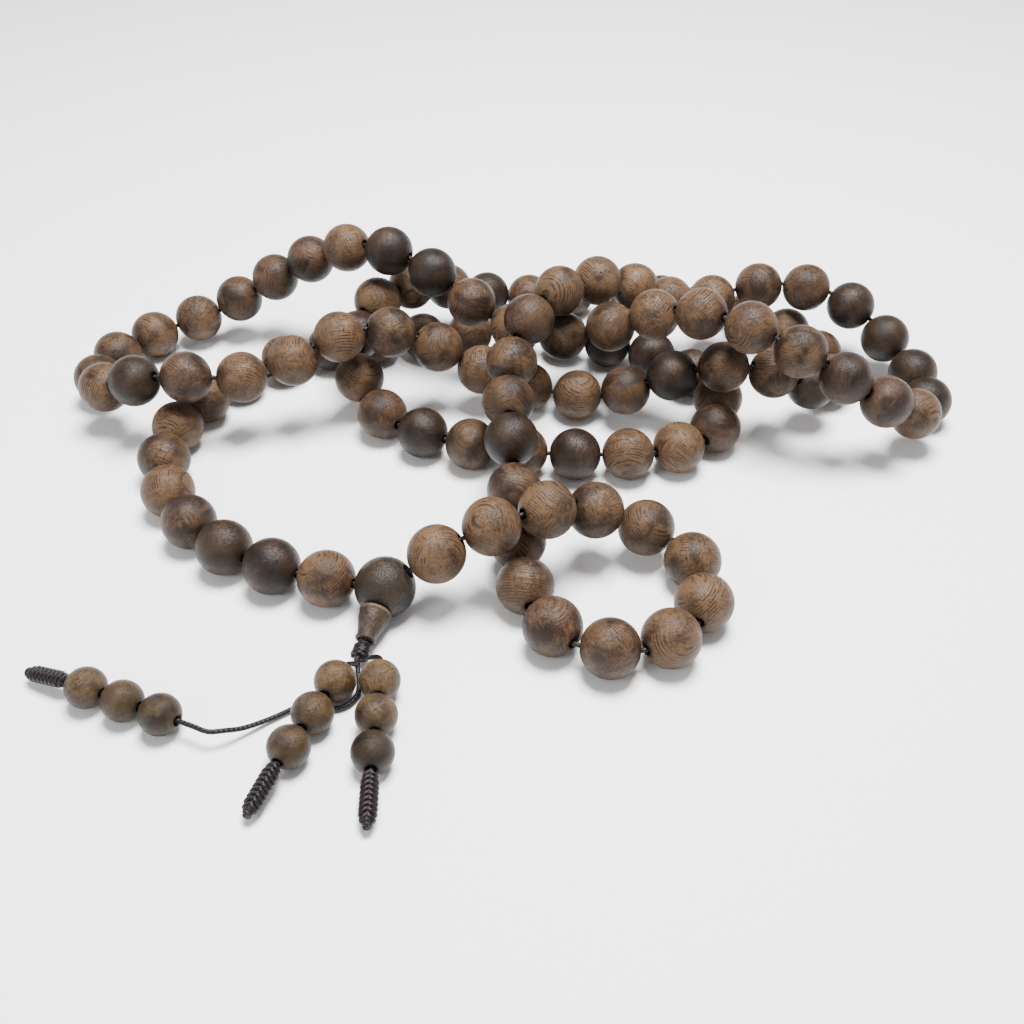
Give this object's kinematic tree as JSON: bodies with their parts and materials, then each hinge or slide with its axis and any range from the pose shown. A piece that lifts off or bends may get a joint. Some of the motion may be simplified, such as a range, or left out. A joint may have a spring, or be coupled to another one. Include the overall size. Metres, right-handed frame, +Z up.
{
  "type": "mala prayer beads",
  "caption": "Wooden mala: a long string of round beads closed by a guru bead and tower, with short strands of smaller counter beads ending in plaited knots.",
  "frame": {"origin": "on the surface the mala lies on, below the middle of its box", "axes": "+Z up, the counter strands point towards -Y, the front ring is on the +X side of the guru bead"},
  "size_m": [0.216, 0.1764, 0.0369],
  "materials": {
    "bead_wood": "satin, hand rubbed, fine wavy grain",
    "guru_wood": "satin, dark, worn edges",
    "counter_wood": "satin, paler olive brown",
    "waxed_cord": "waxed thread, matt"
  },
  "bodies": {
    "loop": {"bead_run_1": "bead_wood", "bead_run_2": "bead_wood", "bead_run_3": "bead_wood", "bead_run_4": "bead_wood", "bead_run_5": "bead_wood", "bead_run_6": "bead_wood", "bead_run_7": "bead_wood", "bead_run_8": "bead_wood", "bead_run_9": "bead_wood", "main_cord": "waxed_cord", "guru_bead": "guru_wood", "tower_knot": "waxed_cord", "counter_cord_c": "waxed_cord", "end_knot_c": "waxed_cord"},
    "guru_tower": {"guru_tower": "guru_wood"},
    "strand_a": {"counter_cord_a": "waxed_cord", "end_knot_a": "waxed_cord"},
    "strand_b": {"counter_cord_b": "waxed_cord", "end_knot_b": "waxed_cord"},
    "counter_a1": {"counter_bead_a1": "counter_wood"},
    "counter_a2": {"counter_bead_a2": "counter_wood"},
    "counter_a3": {"counter_bead_a3": "counter_wood"},
    "counter_b1": {"counter_bead_b1": "counter_wood"},
    "counter_b2": {"counter_bead_b2": "counter_wood"},
    "counter_b3": {"counter_bead_b3": "counter_wood"},
    "counter_c1": {"counter_bead_c1": "counter_wood"},
    "counter_c2": {"counter_bead_c2": "counter_wood"},
    "counter_c3": {"counter_bead_c3": "counter_wood"},
    "main_bead_001": {"main_bead_001": "bead_wood"},
    "main_bead_002": {"main_bead_002": "bead_wood"},
    "main_bead_003": {"main_bead_003": "bead_wood"},
    "main_bead_004": {"main_bead_004": "bead_wood"},
    "main_bead_005": {"main_bead_005": "bead_wood"},
    "main_bead_006": {"main_bead_006": "bead_wood"},
    "main_bead_007": {"main_bead_007": "bead_wood"},
    "main_bead_008": {"main_bead_008": "bead_wood"},
    "main_bead_009": {"main_bead_009": "bead_wood"},
    "main_bead_010": {"main_bead_010": "bead_wood"},
    "main_bead_011": {"main_bead_011": "bead_wood"},
    "main_bead_093": {"main_bead_093": "bead_wood"},
    "main_bead_094": {"main_bead_094": "bead_wood"},
    "main_bead_095": {"main_bead_095": "bead_wood"},
    "main_bead_096": {"main_bead_096": "bead_wood"},
    "main_bead_097": {"main_bead_097": "bead_wood"},
    "main_bead_098": {"main_bead_098": "bead_wood"},
    "main_bead_099": {"main_bead_099": "bead_wood"},
    "main_bead_100": {"main_bead_100": "bead_wood"},
    "main_bead_101": {"main_bead_101": "bead_wood"},
    "main_bead_102": {"main_bead_102": "bead_wood"},
    "main_bead_103": {"main_bead_103": "bead_wood"},
    "main_bead_104": {"main_bead_104": "bead_wood"},
    "main_bead_105": {"main_bead_105": "bead_wood"},
    "main_bead_106": {"main_bead_106": "bead_wood"},
    "main_bead_107": {"main_bead_107": "bead_wood"},
    "main_bead_108": {"main_bead_108": "bead_wood"}
  },
  "joints": [
    {"name": "counter_strand_a_lift", "type": "hinge", "parent": "loop", "child": "strand_a", "pos_m": [-0.02896, -0.0505, 0.00242], "axis": [-0.9205, 0.3907, 0], "range_deg": [0, 50]},
    {"name": "counter_strand_b_swing", "type": "hinge", "parent": "loop", "child": "strand_b", "pos_m": [-0.02628, -0.04958, 0.00216], "axis": [0, 0, 1], "range_deg": [0, 35]},
    {"name": "counter_a1_spin", "type": "hinge", "parent": "strand_a", "child": "counter_a1", "pos_m": [-0.03222, -0.05687, 0.00382], "axis": [-0.3907, -0.9205, 0], "continuous": true},
    {"name": "counter_a2_spin", "type": "hinge", "parent": "strand_a", "child": "counter_a2", "pos_m": [-0.03547, -0.06451, 0.00382], "axis": [-0.3907, -0.9205, 0], "continuous": true},
    {"name": "counter_a3_spin", "type": "hinge", "parent": "strand_a", "child": "counter_a3", "pos_m": [-0.03871, -0.07215, 0.00382], "axis": [-0.3907, -0.9205, 0], "continuous": true},
    {"name": "counter_b1_spin", "type": "hinge", "parent": "strand_b", "child": "counter_b1", "pos_m": [-0.02384, -0.05671, 0.00382], "axis": [0.0122, -0.9999, 0], "continuous": true},
    {"name": "counter_b2_spin", "type": "hinge", "parent": "strand_b", "child": "counter_b2", "pos_m": [-0.02374, -0.06501, 0.00382], "axis": [0.0122, -0.9999, 0], "continuous": true},
    {"name": "counter_b3_spin", "type": "hinge", "parent": "strand_b", "child": "counter_b3", "pos_m": [-0.02364, -0.07331, 0.00382], "axis": [0.0122, -0.9999, 0], "continuous": true},
    {"name": "counter_c1_slide", "type": "slide", "parent": "loop", "child": "counter_c1", "axis": [0.9239, -0.3827, 0], "range_m": [0, 0.002]},
    {"name": "counter_c2_slide", "type": "slide", "parent": "counter_c1", "child": "counter_c2", "axis": [0.9239, -0.3827, 0], "range_m": [0, 0.002]},
    {"name": "counter_c3_slide", "type": "slide", "parent": "counter_c2", "child": "counter_c3", "axis": [0.9239, -0.3827, 0], "range_m": [0, 0.002]},
    {"name": "guru_tower_spin", "type": "hinge", "parent": "loop", "child": "guru_tower", "pos_m": [-0.02599, -0.0394, 0.00467], "axis": [-0.2509, -0.9365, -0.2449], "continuous": true},
    {"name": "main_bead_001_spin", "type": "hinge", "parent": "loop", "child": "main_bead_001", "pos_m": [-0.0368, -0.03134, 0.00573], "axis": [-0.97, 0.2433, 0], "continuous": true},
    {"name": "main_bead_002_spin", "type": "hinge", "parent": "loop", "child": "main_bead_002", "pos_m": [-0.04855, -0.02769, 0.00573], "axis": [-0.9366, 0.3503, 0], "continuous": true},
    {"name": "main_bead_003_spin", "type": "hinge", "parent": "loop", "child": "main_bead_003", "pos_m": [-0.05944, -0.02198, 0.00573], "axis": [-0.8215, 0.5702, 0], "continuous": true},
    {"name": "main_bead_004_spin", "type": "hinge", "parent": "loop", "child": "main_bead_004", "pos_m": [-0.06861, -0.01379, 0.00573], "axis": [-0.6578, 0.7532, 0], "continuous": true},
    {"name": "main_bead_005_spin", "type": "hinge", "parent": "loop", "child": "main_bead_005", "pos_m": [-0.07547, -0.00357, 0.00573], "axis": [-0.4489, 0.8936, 0], "continuous": true},
    {"name": "main_bead_006_spin", "type": "hinge", "parent": "loop", "child": "main_bead_006", "pos_m": [-0.07905, 0.0082, 0.00573], "axis": [-0.1241, 0.9923, 0], "continuous": true},
    {"name": "main_bead_007_spin", "type": "hinge", "parent": "loop", "child": "main_bead_007", "pos_m": [-0.07859, 0.0205, 0.00573], "axis": [0.198, 0.9802, 0], "continuous": true},
    {"name": "main_bead_008_spin", "type": "hinge", "parent": "loop", "child": "main_bead_008", "pos_m": [-0.07444, 0.03208, 0.00573], "axis": [0.4703, 0.8825, 0], "continuous": true},
    {"name": "main_bead_009_spin", "type": "hinge", "parent": "loop", "child": "main_bead_009", "pos_m": [-0.0671, 0.04195, 0.00573], "axis": [0.7093, 0.7049, 0], "continuous": true},
    {"name": "main_bead_010_spin", "type": "hinge", "parent": "loop", "child": "main_bead_010", "pos_m": [-0.05745, 0.04957, 0.00573], "axis": [0.85, 0.5267, 0], "continuous": true},
    {"name": "main_bead_011_spin", "type": "hinge", "parent": "loop", "child": "main_bead_011", "pos_m": [-0.04638, 0.05494, 0.00573], "axis": [0.9401, 0.341, 0], "continuous": true},
    {"name": "main_bead_093_spin", "type": "hinge", "parent": "loop", "child": "main_bead_093", "pos_m": [0.00101, 0.02483, 0.02102], "axis": [-0.1635, -0.8437, -0.5114], "continuous": true},
    {"name": "main_bead_094_spin", "type": "hinge", "parent": "loop", "child": "main_bead_094", "pos_m": [0.00024, 0.01318, 0.01824], "axis": [0.0365, -0.9978, 0.0556], "continuous": true},
    {"name": "main_bead_095_spin", "type": "hinge", "parent": "loop", "child": "main_bead_095", "pos_m": [0.00093, 0.00136, 0.0164], "axis": [0.0748, -0.9358, -0.3446], "continuous": true},
    {"name": "main_bead_096_spin", "type": "hinge", "parent": "loop", "child": "main_bead_096", "pos_m": [0.00163, -0.00966, 0.01112], "axis": [0.0394, -0.8566, -0.5145], "continuous": true},
    {"name": "main_bead_097_spin", "type": "hinge", "parent": "loop", "child": "main_bead_097", "pos_m": [0.00231, -0.02119, 0.00681], "axis": [0.0693, -0.9827, -0.1719], "continuous": true},
    {"name": "main_bead_098_spin", "type": "hinge", "parent": "loop", "child": "main_bead_098", "pos_m": [0.00375, -0.03347, 0.00573], "axis": [0.1616, -0.9869, 0], "continuous": true},
    {"name": "main_bead_099_spin", "type": "hinge", "parent": "loop", "child": "main_bead_099", "pos_m": [0.00902, -0.04469, 0.00573], "axis": [0.6599, -0.7514, 0], "continuous": true},
    {"name": "main_bead_100_spin", "type": "hinge", "parent": "loop", "child": "main_bead_100", "pos_m": [0.01993, -0.05042, 0.00573], "axis": [0.9934, -0.1145, 0], "continuous": true},
    {"name": "main_bead_101_spin", "type": "hinge", "parent": "loop", "child": "main_bead_101", "pos_m": [0.03184, -0.0478, 0.00573], "axis": [0.8564, 0.5164, 0], "continuous": true},
    {"name": "main_bead_102_spin", "type": "hinge", "parent": "loop", "child": "main_bead_102", "pos_m": [0.03942, -0.03818, 0.00573], "axis": [0.3042, 0.9526, 0], "continuous": true},
    {"name": "main_bead_103_spin", "type": "hinge", "parent": "loop", "child": "main_bead_103", "pos_m": [0.03859, -0.02596, 0.00573], "axis": [-0.4272, 0.9042, 0], "continuous": true},
    {"name": "main_bead_104_spin", "type": "hinge", "parent": "loop", "child": "main_bead_104", "pos_m": [0.02949, -0.01816, 0.00793], "axis": [-0.912, 0.2536, 0.3224], "continuous": true},
    {"name": "main_bead_105_spin", "type": "hinge", "parent": "loop", "child": "main_bead_105", "pos_m": [0.0185, -0.01858, 0.01316], "axis": [-0.8103, -0.3136, 0.4951], "continuous": true},
    {"name": "main_bead_106_spin", "type": "hinge", "parent": "loop", "child": "main_bead_106", "pos_m": [0.00821, -0.02351, 0.01753], "axis": [-0.8504, -0.4815, 0.2124], "continuous": true},
    {"name": "main_bead_107_spin", "type": "hinge", "parent": "loop", "child": "main_bead_107", "pos_m": [-0.00298, -0.0286, 0.01753], "axis": [-0.922, -0.3245, -0.2112], "continuous": true},
    {"name": "main_bead_108_spin", "type": "hinge", "parent": "loop", "child": "main_bead_108", "pos_m": [-0.01397, -0.03188, 0.01312], "axis": [-0.8435, -0.2014, -0.498], "continuous": true}
  ]
}
